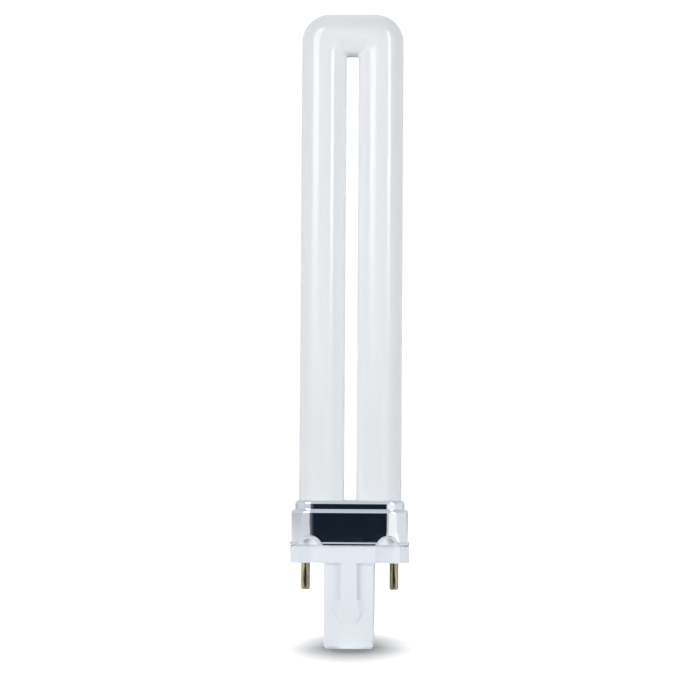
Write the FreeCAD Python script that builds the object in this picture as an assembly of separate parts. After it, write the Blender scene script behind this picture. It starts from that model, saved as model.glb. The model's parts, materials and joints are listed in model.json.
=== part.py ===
import FreeCAD
import Part

import math
import os

from FreeCAD import Vector

# A two-pin compact fluorescent lamp, standing on the end of its post.
# A glass tube, blown into one U with a squared bend, is cemented into a polished metal collar.
# The collar closes over a moulded plastic base, which carries two contact pins and a hollow post.
# The post holds the glow starter and its capacitor, and its catches clip into the lampholder.
# Millimetres. X runs from pin to pin, Y from front to back and Z up along the lamp's axis.
# The origin is the centre of the post's end face, and "seat" is the underside of the flange.

# Glass tube
tube_gap = 3.2
tube_to_collar_side = 1.8
glass_wall = 0.9
glass_rise = 127.3
bridge_height = 11.05
bend_outer_radius = 7.3
bend_inner_radius = 0.6
bend_run_in = 0.1
bend_steps = 8
tube_seat_depth = 4.4
pinch_side_step = 1.25
pinch_thickness = 3.0
pinch_taper = 3.0
pinch_length = 2.5

# Metal collar
collar_width = 30.2
collar_depth = 18.8
collar_corner = 6.0
collar_height = 11.8
collar_sheet = 0.4
shoulder_drop = 2.2
shoulder_setback = 1.0
collar_top_round = 0.9
hem_height = 1.15
hem_projection = 0.45
hem_round = 0.4
tube_hole_clearance = 0.15

# Plastic base: the flange and the skirt inside the collar
flange_overhang = 0.3
flange_height = 4.6
flange_round = 0.35
floor_thickness = 1.8
skirt_height = 6.4
skirt_clearance = 0.1
housing_wall = 1.2

# Flutes: four upright grooves in the flange, each ending in a round dent in the collar
flute_radius = 3.6
flute_inset_x = 5.2
flute_standoff = 0.7
flute_ball_drop = 0.55

# Plastic base: the post, with its ribs and catches
post_length = 21.45
post_width = 13.0
post_corner = 0.6
post_draft = 0.15
post_wall = 1.2
post_end_wall = 1.5
post_end_chamfer = 0.5
rib_width = 4.0
rib_projection = 1.2
rib_full_length = 9.85
rib_end = 15.3
catch_width = 7.65
catch_drop = 8.95
catch_flat = 2.55

# Contact pins
pin_to_collar_side = 3.6
pin_diameter = 2.35
pin_length = 6.8
pin_tip_round = 0.5
pin_shank_diameter = 2.9
pin_boss_diameter = 5.0
pin_boss_height = 2.0
pin_head_diameter = 3.8
pin_head_height = 0.6
pin_bore_depth = 5.0

# Glow starter and capacitor, side by side in the post
starter_diameter = 6.5
starter_lead_rise = 3.15
starter_neck_diameter = 4.0
starter_neck_length = 2.0
starter_lead_spacing = 2.4
capacitor_width = 8.4
capacitor_thickness = 3.6
capacitor_height = 9.6
capacitor_round = 0.8
capacitor_lead_spacing = 6.0
inner_clearance = 0.2

# Lead wires, and the splices that join three of them on each side
wire_diameter = 0.6
pinch_lead_spacing = 4.8
splice_clearance = 0.15
splice_drop = 0.4
splice_length = 3.0
splice_wall = 0.25
bend_share = 0.45
straight_share = 0.3

# Heights and places worked out from the sizes above
tube_diameter = (collar_width - tube_gap) / 2 - tube_to_collar_side
tube_radius = tube_diameter / 2
tube_x = (tube_diameter + tube_gap) / 2
pinch_width = tube_diameter - 2 * pinch_side_step
flange_width = collar_width + 2 * flange_overhang
flange_depth = collar_depth + 2 * flange_overhang
flange_corner = collar_corner + flange_overhang
post_depth = flange_depth - 2 * rib_projection
seat = post_length
flange_top = seat + flange_height
collar_top = flange_top + collar_height
shoulder_level = collar_top - shoulder_drop
glass_top = collar_top + glass_rise
glass_shoulder = collar_top - tube_seat_depth
pinch_end = glass_shoulder - pinch_taper - pinch_length
slot_corner_x = tube_gap / 2 - bend_inner_radius
slot_corner_z = glass_top - bridge_height - bend_inner_radius
skirt_top = flange_top + skirt_height
floor_top = seat + floor_thickness
flute_x = flange_width / 2 - flute_inset_x
flute_y = flange_depth / 2 + flute_standoff
flute_ball_z = flange_top - flute_ball_drop
pin_x = collar_width / 2 - pin_to_collar_side
pin_head_top = floor_top + pin_boss_height + pin_head_height
post_floor = post_end_wall
wire_radius = wire_diameter / 2
splice_bore = wire_radius + wire_diameter / math.sqrt(3)
splice_x = post_width / 2 - post_draft - post_wall - splice_clearance - splice_wall - splice_bore
splice_top = seat - splice_drop
splice_bottom = splice_top - splice_length
starter_top = splice_bottom - starter_lead_rise

UP = Vector(0, 0, 1)
ALONG = Vector(1, 0, 0)
SIDES = {"left": -1, "right": 1}


def upright(edge):
    """True for a straight edge that runs along Z."""
    first, last = edge.Vertexes[0].Point, edge.Vertexes[-1].Point
    return abs(last.z - first.z) > 0.9 * edge.Length


def level_edges(shape, height):
    """The edges of a shape that lie flat at one height."""
    reach = 1e-4
    boxes = ((edge, edge.BoundBox) for edge in shape.Edges)
    return [e for e, b in boxes if abs(b.ZMin - height) < reach and abs(b.ZMax - height) < reach]


def rounded_block(width, depth, corner, bottom, top):
    """An upright block about the lamp's axis, with its four upright edges rounded."""
    block = Part.makeBox(width, depth, top - bottom, Vector(-width / 2, -depth / 2, bottom))
    return block.makeFillet(corner, [e for e in block.Edges if upright(e)])


def rounded_outline(width, depth, corner, height):
    """The outline of a rounded rectangle about the lamp's axis, at one height."""
    block = rounded_block(width, depth, corner, height, height + 1)
    return Part.Wire(Part.__sortEdges__(level_edges(block, height)))


def moved(shape, step):
    """A copy of a shape, moved by one step."""
    copy = shape.copy()
    copy.translate(step)
    return copy


def mirrored_in_x(shape):
    return shape.mirror(Vector(0, 0, 0), Vector(1, 0, 0))


def mirrored_in_y(shape):
    return shape.mirror(Vector(0, 0, 0), Vector(0, 1, 0))


def fused(shapes):
    """One clean solid made of several that touch or overlap."""
    shapes = list(shapes)
    return shapes[0].multiFuse(shapes[1:]).removeSplitter()


# Glass


def section_curve(centre, across, radius_across, radius_y):
    """A closed elliptical section of the glass, spanned by one direction in the XZ plane and by Y."""
    curve = Part.Circle(Vector(0, 0, 0), UP, 1.0).toNurbs()
    for index, pole in enumerate(curve.getPoles(), 1):
        place = centre + across * (pole.x * radius_across) + Vector(0, pole.y * radius_y, 0)
        curve.setPole(index, place)
    return Part.Wire(curve.toShape())


def bend_sections(inset):
    """Sections that fan out about a top corner of the slot, from the left tube round to the bridge."""
    outline_x = tube_x + tube_radius - bend_outer_radius - slot_corner_x
    outline_z = glass_top - bend_outer_radius - slot_corner_z
    pivot = Vector(-slot_corner_x, 0, slot_corner_z)
    fan = []
    for step in range(bend_steps + 1):
        angle = math.pi / 2 * step / bend_steps
        across = Vector(-math.cos(angle), 0, math.sin(angle))
        outer = outline_reach(angle, outline_x, outline_z) - inset
        inner = bend_inner_radius + inset
        middle = pivot + across * ((outer + inner) / 2)
        fan.append(section_curve(middle, across, (outer - inner) / 2, tube_radius - inset))
    return [moved(fan[0], UP * -bend_run_in)] + fan + [moved(fan[-1], ALONG * bend_run_in)]


def outline_reach(angle, straight_x, straight_z):
    """How far the bend's outline lies from the slot's corner, at an angle above the horizontal."""
    reach_x = straight_x + bend_outer_radius
    reach_z = straight_z + bend_outer_radius
    cosine, sine = math.cos(angle), math.sin(angle)
    if reach_x * sine <= straight_z * cosine:
        return reach_x / cosine
    if reach_z * cosine <= straight_x * sine:
        return reach_z / sine
    along = straight_x * cosine + straight_z * sine
    aside = straight_x * sine - straight_z * cosine
    return along + math.sqrt(bend_outer_radius**2 - aside**2)


def glass_form(inset, tube_bottom):
    """The U of the glass, drawn in by an inset and cut off flat at the tubes' bottom."""
    sections = bend_sections(inset)
    left = Part.makeLoft(sections, True)
    bridge = Part.Face(sections[-1]).extrude(ALONG * (2 * (slot_corner_x - bend_run_in)))
    height = slot_corner_z - bend_run_in - tube_bottom
    tubes = []
    for side in SIDES.values():
        foot = Vector(side * tube_x, 0, tube_bottom)
        tubes.append(Part.makeCylinder(tube_radius - inset, height, foot))
    return fused([left, bridge, mirrored_in_x(left)] + tubes)


def pinch(side):
    """The end of a tube, drawn down and pressed flat around its two lead wires."""
    centre = Vector(side * tube_x, 0, 0)
    blade_top = glass_shoulder - pinch_taper
    top = section_curve(centre + UP * glass_shoulder, ALONG, tube_radius, tube_radius)
    flat = section_curve(centre + UP * blade_top, ALONG, pinch_width / 2, pinch_thickness / 2)
    taper = Part.makeLoft([top, flat], True, True)
    return fused([taper, Part.Face(flat).extrude(UP * (pinch_end - blade_top))])


def glass_body():
    """The outside of the glass, from the bend down to the two pinches."""
    pinches = [pinch(side) for side in SIDES.values()]
    return fused([glass_form(0, glass_shoulder)] + pinches)


def glass_tube():
    """The sealed glass tube: one wall of even thickness round the discharge space."""
    return glass_body().cut(glass_form(glass_wall, glass_shoulder + glass_wall))


# Flutes and collar


def flutes(grow):
    """The four round-ended grooves, or the space they need when grown by a wall."""
    radius = flute_radius + grow
    run = flute_ball_z
    groove = Part.makeCylinder(radius, run, Vector(flute_x, -flute_y, 0))
    ball = Part.makeSphere(radius, Vector(flute_x, -flute_y, flute_ball_z))
    one = groove.fuse(ball)
    pair = one.fuse(mirrored_in_x(one))
    return pair.fuse(mirrored_in_y(pair))


def collar_form(inset):
    """The collar's two tiers, drawn in by an inset from its outside."""
    width, depth, corner = collar_width - 2 * inset, collar_depth - 2 * inset, collar_corner - inset
    ledge, top = shoulder_level - inset, collar_top - inset
    lower = rounded_block(width, depth, corner, flange_top, ledge)
    lower = lower.makeFillet(shoulder_setback - inset, level_edges(lower, ledge))
    narrower = 2 * shoulder_setback
    upper_corner = corner - shoulder_setback
    upper = rounded_block(width - narrower, depth - narrower, upper_corner, flange_top, top)
    upper = upper.makeFillet(collar_top_round - inset, level_edges(upper, top))
    return fused([lower, upper])


def hem():
    """The edge of the collar, folded out and flattened."""
    grow = hem_projection
    top = flange_top + hem_height
    corner = collar_corner + grow
    band = rounded_block(collar_width + 2 * grow, collar_depth + 2 * grow, corner, flange_top, top)
    rims = level_edges(band, top) + level_edges(band, flange_top)
    return band.makeFillet(hem_round, rims)


def collar():
    """The drawn metal collar, dented over the flutes and pierced for the two tubes."""
    outside = fused([collar_form(0), hem()]).cut(flutes(0))
    inside = collar_form(collar_sheet).cut(flutes(collar_sheet))
    hole = tube_radius + tube_hole_clearance
    shell = outside.cut(inside)
    for side in SIDES.values():
        foot = Vector(side * tube_x, 0, flange_top)
        shell = shell.cut(Part.makeCylinder(hole, collar_height, foot))
    return shell


# Plastic base


def fluted_block(inset, bottom, top):
    """A block that follows the collar's wall, drawn in by an inset, with the flutes cut in."""
    width, depth = collar_width - 2 * inset, collar_depth - 2 * inset
    block = rounded_block(width, depth, collar_corner - inset, bottom, top)
    return block.cut(flutes(inset))


def flange():
    """The fluted plate that seats on the lampholder."""
    plate = rounded_block(flange_width, flange_depth, flange_corner, seat, flange_top)
    plate = plate.makeFillet(flange_round, level_edges(plate, seat))
    return plate.cut(flutes(0))


def post():
    """The post, drafted for the mould and chamfered at its end."""
    end_width = post_width - 2 * post_draft
    end_depth = post_depth - 2 * post_draft
    tip_width = end_width - 2 * post_end_chamfer
    tip_depth = end_depth - 2 * post_end_chamfer
    outlines = [
        rounded_outline(tip_width, tip_depth, post_corner, 0),
        rounded_outline(end_width, end_depth, post_corner, post_end_chamfer),
        rounded_outline(post_width, post_depth, post_corner, floor_top),
    ]
    return Part.makeLoft(outlines, True, True)


def prism(points, direction):
    """A flat outline, closed and extruded."""
    return Part.Face(Part.makePolygon(points + points[:1])).extrude(direction)


def rib():
    """A rib on the post's front, flush with the flange, with the catch that the lampholder grips."""
    face = -flange_depth / 2
    root = -post_depth / 2 + post_draft + post_wall / 2
    foot = -post_depth / 2 + post_draft
    tip, slope, start = seat - rib_end, seat - rib_full_length, floor_top
    side = [Vector(0, root, start), Vector(0, face, start), Vector(0, face, slope)]
    side += [Vector(0, foot, tip), Vector(0, root, tip)]
    profile = prism(side, Vector(catch_width, 0, 0))
    profile.translate(Vector(-catch_width / 2, 0, 0))

    ledge = seat - catch_drop
    shoulder = ledge - catch_flat
    wide, narrow = catch_width / 2, rib_width / 2
    arrow = [(-wide, shoulder), (-wide, ledge), (wide, ledge), (wide, shoulder), (narrow, tip), (-narrow, tip)]
    reach = Vector(0, root - face, 0)
    arrow = prism([Vector(x, face, z) for x, z in arrow], reach)
    wedge = [(-narrow, face), (narrow, face), (wide, foot), (wide, root), (-wide, root), (-wide, foot)]
    wedge = prism([Vector(x, y, tip) for x, y in wedge], Vector(0, 0, start - tip))
    bar = Part.makeBox(rib_width, root - face, start - tip, Vector(-narrow, face, tip))
    return fused([profile.common(bar), profile.common(arrow).common(wedge)])


def pin_boss(side):
    """The boss on the floor that a pin is pressed into."""
    foot = Vector(side * pin_x, 0, seat + floor_thickness / 2)
    return Part.makeCylinder(pin_boss_diameter / 2, floor_thickness / 2 + pin_boss_height, foot)


def base_housing():
    """The moulded base: flange, skirt and post in one piece, hollow inside."""
    gap = collar_sheet + skirt_clearance
    skirt = fluted_block(gap, flange_top - flange_round, skirt_top)
    outside = fused([flange(), skirt, post(), rib(), mirrored_in_y(rib())])
    room = fluted_block(gap + housing_wall, floor_top, skirt_top)
    well_width = post_width - 2 * (post_draft + post_wall)
    well_depth = post_depth - 2 * (post_draft + post_wall)
    well = rounded_block(well_width, well_depth, post_corner, post_floor, floor_top)
    hollow = outside.cut(fused([room, well]))
    bosses = [pin_boss(side).common(fluted_block(gap, seat, skirt_top)) for side in SIDES.values()]
    solid = fused([hollow] + bosses)
    for side in SIDES.values():
        foot = Vector(side * pin_x, 0, seat)
        solid = solid.cut(Part.makeCylinder(pin_shank_diameter / 2, skirt_height, foot))
    return solid


def basing_cement():
    """The cement that fills the collar round the tubes and rests on the skirt."""
    fill = collar_form(collar_sheet)
    above = rounded_block(collar_width, collar_depth, collar_corner, skirt_top, collar_top)
    return fill.common(above).cut(glass_body())


# Contact pins


def pin(side):
    """A turned pin: round tip, contact length, pressed shank and head, bored for its lead wire."""
    radius, shank, head = pin_diameter / 2, pin_shank_diameter / 2, pin_head_diameter / 2
    tip = seat - pin_length
    boss_top = floor_top + pin_boss_height
    shaft = Part.makeCylinder(radius, pin_length, Vector(0, 0, tip))
    shaft = shaft.makeFillet(pin_tip_round, level_edges(shaft, tip))
    body = fused([
        shaft,
        Part.makeCylinder(shank, boss_top - seat, Vector(0, 0, seat)),
        Part.makeCylinder(head, pin_head_height, Vector(0, 0, boss_top)),
    ])
    bore = Part.makeCylinder(wire_radius, pin_bore_depth, Vector(0, 0, pin_head_top - pin_bore_depth))
    body = body.cut(bore)
    body.translate(Vector(side * pin_x, 0, 0))
    return body


# Wires


def wire_along(points, end):
    """A round wire along straight runs, with an arc at each corner, and straight on to its end."""
    edges = []
    start = points[0]
    for before, corner, after in zip(points, points[1:], points[2:]):
        back, forward = before - corner, after - corner
        run = min(back.Length, forward.Length)
        into, out = back.normalize(), forward.normalize()
        half_turn = (math.pi - into.getAngle(out)) / 2
        cut = bend_share * run
        first, last = corner + into * cut, corner + out * cut
        bisector = (into + out).normalize()
        radius = cut / math.tan(half_turn)
        middle = corner + bisector * (math.hypot(cut, radius) - radius)
        edges += [Part.LineSegment(start, first).toShape(), Part.Arc(first, middle, last).toShape()]
        start = last
    edges.append(Part.LineSegment(start, end).toShape())
    path = Part.Wire(edges)
    section = Part.Wire(Part.Circle(points[0], points[1] - points[0], wire_radius).toShape())
    return path.makePipeShell([section], True, False)


def splice_place(side, turn):
    """Where one of the three wires lies inside a splice: they touch each other and the wall."""
    offset = wire_diameter / math.sqrt(3)
    angle = math.radians(turn)
    return side * (splice_x + offset * math.cos(angle)), offset * math.sin(angle)


def lead_to_pin(side):
    """The outer lead of a tube, from the pinch down into the pin's bore."""
    start_x, end_x = side * (tube_x + pinch_lead_spacing / 2), side * pin_x
    bends = straight_share * (pinch_end - pin_head_top)
    points = [
        Vector(start_x, 0, pinch_end),
        Vector(start_x, 0, pinch_end - bends),
        Vector(end_x, 0, pin_head_top + bends),
        Vector(end_x, 0, pin_head_top),
    ]
    return wire_along(points, points[-1] - UP * pin_bore_depth)


def lead_to_splice(side):
    """The inner lead of a tube, from the pinch down into the splice."""
    start_x = side * (tube_x - pinch_lead_spacing / 2)
    end_x, end_y = splice_place(side, 0)
    bends = straight_share * (pinch_end - splice_top)
    points = [
        Vector(start_x, 0, pinch_end),
        Vector(start_x, 0, pinch_end - bends),
        Vector(end_x, end_y, splice_top + bends),
        Vector(end_x, end_y, splice_top),
    ]
    return wire_along(points, points[-1] - UP * splice_length)


def splice(side):
    """The crimped tube that joins a tube's lead with those of the starter and the capacitor."""
    foot = Vector(side * splice_x, 0, splice_bottom)
    outer = Part.makeCylinder(splice_bore + splice_wall, splice_length, foot)
    return outer.cut(Part.makeCylinder(splice_bore, splice_length, foot))


# Starter and capacitor


def lead_up_to_splice(side, start, turn):
    """A lead of the starter or the capacitor, from its body up into the splice."""
    end_x, end_y = splice_place(side, turn)
    bends = straight_share * (splice_bottom - start.z)
    points = [
        start,
        start + UP * bends,
        Vector(end_x, end_y, splice_bottom - bends),
        Vector(end_x, end_y, splice_bottom),
    ]
    return wire_along(points, points[-1] + UP * splice_length)


def starter_bulb():
    """The glow starter: a sealed glass bottle, standing on the post's floor, with its two leads."""
    radius, neck = starter_diameter / 2, starter_neck_diameter / 2
    well_front = -post_depth / 2 + post_draft + post_wall
    centre_y = well_front + inner_clearance + radius
    dome_z = post_floor + radius
    shoulder = starter_top - starter_neck_length
    barrel = Part.makeCylinder(radius, shoulder - dome_z, Vector(0, centre_y, dome_z))
    dome = Part.makeSphere(radius, Vector(0, centre_y, dome_z))
    cone = Part.makeCone(radius, neck, starter_neck_length, Vector(0, centre_y, shoulder))
    leads = []
    for side in SIDES.values():
        foot = Vector(side * starter_lead_spacing / 2, centre_y, starter_top)
        leads.append(lead_up_to_splice(side, foot, -120))
    return fused([barrel, dome, cone] + leads)


def capacitor():
    """The capacitor: a dipped block beside the starter, with its two leads."""
    well_back = post_depth / 2 - post_draft - post_wall
    back = well_back - inner_clearance
    corner = Vector(-capacitor_width / 2, back - capacitor_thickness, post_floor)
    block = Part.makeBox(capacitor_width, capacitor_thickness, capacitor_height, corner)
    block = block.makeFillet(capacitor_round, block.Edges)
    leads = []
    middle, top = back - capacitor_thickness / 2, post_floor + capacitor_height
    for side in SIDES.values():
        foot = Vector(side * capacitor_lead_spacing / 2, middle, top)
        leads.append(lead_up_to_splice(side, foot, 120))
    return fused([block] + leads)


def build():
    """Every piece of the lamp, by name."""
    pieces = {
        "glass_tube": glass_tube(),
        "collar": collar(),
        "base_housing": base_housing(),
        "basing_cement": basing_cement(),
        "starter_bulb": starter_bulb(),
        "capacitor": capacitor(),
    }
    for name, side in SIDES.items():
        pieces["pin_" + name] = pin(side)
        pieces["lead_to_pin_" + name] = lead_to_pin(side)
        pieces["lead_to_splice_" + name] = lead_to_splice(side)
        pieces["splice_" + name] = splice(side)
    return pieces


def main():
    os.makedirs("parts", exist_ok=True)
    for name, shape in build().items():
        shape.exportStep(os.path.join("parts", name + ".step"))


main()
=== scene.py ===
import json
import math

import bpy
from bpy.props import FloatProperty, FloatVectorProperty, IntProperty, PointerProperty
from bpy.types import Operator, Panel, PropertyGroup
from mathutils import Matrix, Vector


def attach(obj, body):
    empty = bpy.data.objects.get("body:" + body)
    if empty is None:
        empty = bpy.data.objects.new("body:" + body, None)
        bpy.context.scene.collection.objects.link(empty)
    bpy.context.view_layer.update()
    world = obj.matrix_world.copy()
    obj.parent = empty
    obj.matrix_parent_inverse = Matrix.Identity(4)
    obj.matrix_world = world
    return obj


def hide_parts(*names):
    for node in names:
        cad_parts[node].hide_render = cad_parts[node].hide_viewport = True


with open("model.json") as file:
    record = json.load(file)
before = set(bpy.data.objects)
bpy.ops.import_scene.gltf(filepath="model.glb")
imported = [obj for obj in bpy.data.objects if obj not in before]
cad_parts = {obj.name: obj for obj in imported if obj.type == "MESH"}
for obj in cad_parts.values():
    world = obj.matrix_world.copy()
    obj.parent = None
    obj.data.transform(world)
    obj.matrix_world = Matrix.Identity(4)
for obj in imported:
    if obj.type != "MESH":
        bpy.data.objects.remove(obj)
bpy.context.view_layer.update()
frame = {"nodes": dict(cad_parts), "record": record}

bl_info = {
    "name": "U shaped fluorescent bulb",
    "version": (1, 0, 0),
    "blender": (4, 5, 0),
    "location": "View3D > Sidebar > Bulb",
    "description": "Builds a U shaped fluorescent bulb on its CAD frame, with its stage",
    "category": "Add Mesh",
}

MM = 0.001
SIDES = {"left": -1, "right": 1}
WHITE = (1.0, 1.0, 1.0)
BLACK = (0.0, 0.0, 0.0)

# How far a cutter reaches past what it cuts
MARGIN = 1 * MM
# Points closer than this are one point, and a step inward smaller than this is none, in metres
SAME_POINT = 1e-6
NO_STEP = 1e-9
# The two steps of a rounded chamfer, as shares of its width and of its height
ROUNDED_CHAMFER = ((0.6, 0.25), (0.4, 0.75))

# Where most values of a noise lie, and those that are tarnish on the brass
NOISE_RANGE = (0.3, 0.7)
TARNISH_RANGE = (0.38, 0.66)
# Share by which the roughness of an inner piece goes up and down
UNEVENNESS = 0.2
# Looks of the pieces inside the base, by material slot: colour, metallic, roughness
INNER_LOOKS = {
    "cement": ((0.62, 0.60, 0.55), 0, 0.9),
    "starter_glass": ((0.62, 0.68, 0.64), 0, 0.12),
    "capacitor_coat": ((0.26, 0.06, 0.02), 0, 0.3),
    "lead_wire": ((0.50, 0.48, 0.44), 1, 0.35),
    "splice_metal": ((0.55, 0.44, 0.20), 1, 0.4),
}

# Panels round the bulb: degrees to the right of its front, then distance, width, foot and top in metres
UPRIGHT_PANELS = {
    "softbox_left": (-41, 0.75, 0.40, 0.06, 0.85),
    "softbox_right": (45, 0.80, 0.22, 0.06, 0.80),
    "card_left": (-45, 0.74, 0.60, -0.001, 0.06),
    "card_right": (41, 0.78, 0.58, 0.0, 0.09),
    "card_side": (95, 0.85, 1.25, 0.0, 0.09),
    "dark_card": (-6, 0.70, 0.44, -0.001, 0.085),
    "key": (-45, 0.80, 0.50, 0.0, 0.4),
    "fill": (52, 0.80, 0.55, 0.0, 0.4),
}
# Where the paler left edge of the dark card has faded out, across the card from -0.5 to 0.5
DARK_EDGE_END = 0.08
# Dark mats that lie on the floor and the light panel above, in metres
MAT_PLACES = {"dark_mat_front": (-0.03, -0.375, 0.0005), "dark_mat_back": (0.03, 0.375, 0.0005)}
MAT_SIZE = (0.24, 0.61)
CEILING_PLACE = (0, 0.45, 1.0)
CEILING_SIZE = (1.6, 0.5)
CEILING_TILT = math.radians(-24)
FLOOR_SIZE = 12
# Between these heights, as the sine of the angle above the horizon, the room changes to its upper colour
ROOM_RISE = (-0.1, 0.8)
# A little past white, so that the background is clean
BACKDROP = 1.05
# Width of the camera's sensor in millimetres, and how far the camera sees in metres
SENSOR_WIDTH = 36
SIGHT = 50


def length(name, millimetres, description):
    """A length property, given in millimetres and kept in metres."""
    metres = millimetres * MM
    return FloatProperty(name=name, description=description, default=metres, unit="LENGTH", precision=5)


def degrees(name, value, description):
    return FloatProperty(name=name, description=description, default=math.radians(value), subtype="ANGLE")


def count(name, value, description):
    return IntProperty(name=name, description=description, default=value, min=3)


def tint(name, rgb, description):
    """A linear colour property."""
    return FloatVectorProperty(
        name=name, description=description, default=rgb, size=3, subtype="COLOR", min=0, max=1
    )


def factor(name, value, description):
    return FloatProperty(name=name, description=description, default=value)


# Settings


class BulbGlassSettings(PropertyGroup):
    radius: length("Tube radius", 5.85, "Outer radius of the glass tube")
    half_spacing: length("Half spacing", 7.45, "From the bulb's axis to the axis of a tube")
    top: length("Top", 165.15, "Height of the top of the bend")
    bridge_height: length("Bridge height", 11.05, "Height of the glass across the bend")
    outer_corner: length("Outer corner", 7.3, "Radius of the bend's outline")
    slot_corner: length("Slot corner", 0.6, "Radius of the slot's top corners")
    shoulder: length("Shoulder", 33.45, "Height where a tube starts to narrow to its pinch")
    blade_top: length("Blade top", 30.45, "Height where the pinch is fully flat")
    blade_end: length("Blade end", 27.95, "Height of the pinch's lower end")
    blade_width: length("Blade width", 9.2, "Width of the pinch")
    blade_thickness: length("Blade thickness", 3.0, "Thickness of the pinch")
    straight_start: length("Straight start", 5, "From the shoulder to the tube's first full section")
    straight_end: length("Straight end", 3, "From the tube's last straight section to the slot's top")
    around: count("Points around", 96, "Points round a tube")
    bend_steps: count("Bend steps", 28, "Sections in each half of the bend")
    # The coating's own white is even. Painted shade and light by height: it is painted a little darker at
    # the bend and lighter and bluer lower down.
    coating: tint("Coating", (0.86, 0.865, 0.875), "White coating inside the glass, at the bend")
    coating_lit_low: tint("Lower coating", (0.86, 0.88, 0.895), "White coating lower down")
    painted_shade_height: length("Coating change", 120, "Height about which the coating changes")
    painted_shade_blend: length("Coating blend", 20, "Half the height over which the coating changes")


class BulbCollarSettings(PropertyGroup):
    half_width: length("Half width", 15.1, "Half the width of the lower tier")
    half_depth: length("Half depth", 9.4, "Half the depth of the lower tier")
    corner: length("Corner", 6.0, "Radius of the lower tier's upright corners")
    bottom: length("Bottom", 26.05, "Height of the collar's foot")
    top: length("Top", 37.85, "Height of the collar's top face")
    shoulder: length("Shoulder", 35.65, "Height of the shoulder between the tiers")
    setback: length("Setback", 1.0, "How far the upper tier stands back")
    top_round: length("Top rounding", 0.9, "Radius of the top edge")
    sheet: length("Sheet", 0.4, "Thickness of the metal")
    hem_height: length("Hem height", 1.15, "Height of the folded edge")
    hem_reach: length("Hem reach", 0.45, "How far the folded edge stands out")
    hem_round: length("Hem rounding", 0.4, "Radius of the folded edge")
    crease: length("Crease", 0.2, "Radius where two drawn walls meet")
    hole_gap: length("Hole gap", 0.15, "Room between the glass and the edge of its hole")
    dent_round: length("Dent rounding", 0.34, "Rounding of the dents' edges")
    rim_round: length("Rim rounding", 0.14, "Rounding of the sheet's edges")
    metal: tint("Metal", (0.86, 0.88, 0.91), "Polished metal")


class BulbFluteSettings(PropertyGroup):
    x: length("X", 10.2, "From the bulb's axis to a flute's axis, sideways")
    y: length("Y", 10.4, "From the bulb's axis to a flute's axis, front to back")
    radius: length("Radius", 3.6, "Radius of a flute")
    end: length("End", 25.5, "Height of the centre of a flute's round end")


class BulbBaseSettings(PropertyGroup):
    flange_half_width: length("Flange half width", 15.4, "Half the width of the flange")
    flange_half_depth: length("Flange half depth", 9.7, "Half the depth of the flange")
    flange_corner: length("Flange corner", 6.3, "Radius of the flange's upright corners")
    seat: length("Seat", 21.45, "Height of the flange's underside")
    flange_top: length("Flange top", 26.05, "Height of the flange's top")
    flange_round: length("Flange rounding", 0.35, "Rounding of the flange's lower edge")
    skirt_top: length("Skirt top", 32.45, "Height of the skirt inside the collar")
    skirt_gap: length("Skirt gap", 0.5, "From the collar's outside to the skirt's outside")
    skirt_sink: length("Skirt sink", 0.3, "How far the skirt's foot is sunk into the flange")
    wall: length("Wall", 1.2, "Wall of the skirt")
    floor_top: length("Floor top", 23.25, "Height of the floor inside the flange")
    post_half_width: length("Post half width", 6.5, "Half the width of the post at its root")
    post_half_depth: length("Post half depth", 8.5, "Half the depth of the post at its root")
    post_corner: length("Post corner", 0.6, "Radius of the post's upright corners")
    post_draft: length("Post draft", 0.15, "How much narrower the post is at its end, each side")
    post_chamfer: length("Post chamfer", 0.5, "Chamfer round the post's end")
    well_inset: length("Well inset", 1.35, "From the post's root outline to its inner wall")
    well_floor: length("Well floor", 1.5, "Thickness of the post's end")
    rib_half_width: length("Rib half width", 2.0, "Half the width of a rib")
    rib_turn: length("Rib turn", 11.6, "Height where a rib starts to slope back to the post")
    rib_tip: length("Rib tip", 6.15, "Height where a rib meets the post's face")
    catch_half_width: length("Catch half width", 3.825, "Half the width of a catch")
    catch_ledge: length("Catch ledge", 12.5, "Height of a catch's ledge")
    catch_shoulder: length("Catch shoulder", 9.95, "Height where a catch starts to narrow")
    edge_round: length("Edge rounding", 0.12, "Rounding of the moulded edges")
    hair: length("Hair", 0.02, "How far the rib stands out from the flange, and the catch from the rib")
    plastic: tint("Plastic", (0.88, 0.91, 0.96), "White moulded plastic")


class BulbPinSettings(PropertyGroup):
    x: length("X", 11.5, "From the bulb's axis to a pin's axis")
    radius: length("Radius", 1.175, "Radius of a pin")
    tip: length("Tip", 14.65, "Height of a pin's tip")
    tip_round: length("Tip rounding", 0.5, "Rounding of a pin's tip")
    shank: length("Shank radius", 1.45, "Radius of the part pressed into the base")
    head: length("Head radius", 1.9, "Radius of a pin's head")
    boss: length("Boss radius", 2.5, "Radius of the boss round a pin")
    boss_top: length("Boss top", 25.25, "Height of the boss")
    head_top: length("Head top", 25.85, "Height of a pin's head")
    bore: length("Bore radius", 0.3, "Radius of the bore for the lead wire")
    bore_floor: length("Bore floor", 20.85, "Height of the bore's end")
    around: count("Points around", 48, "Points round a pin")
    brass: tint("Brass", (0.47, 0.43, 0.275), "Bright brass")
    tarnish: tint("Tarnish", (0.32, 0.28, 0.16), "Darker brass")


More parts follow.
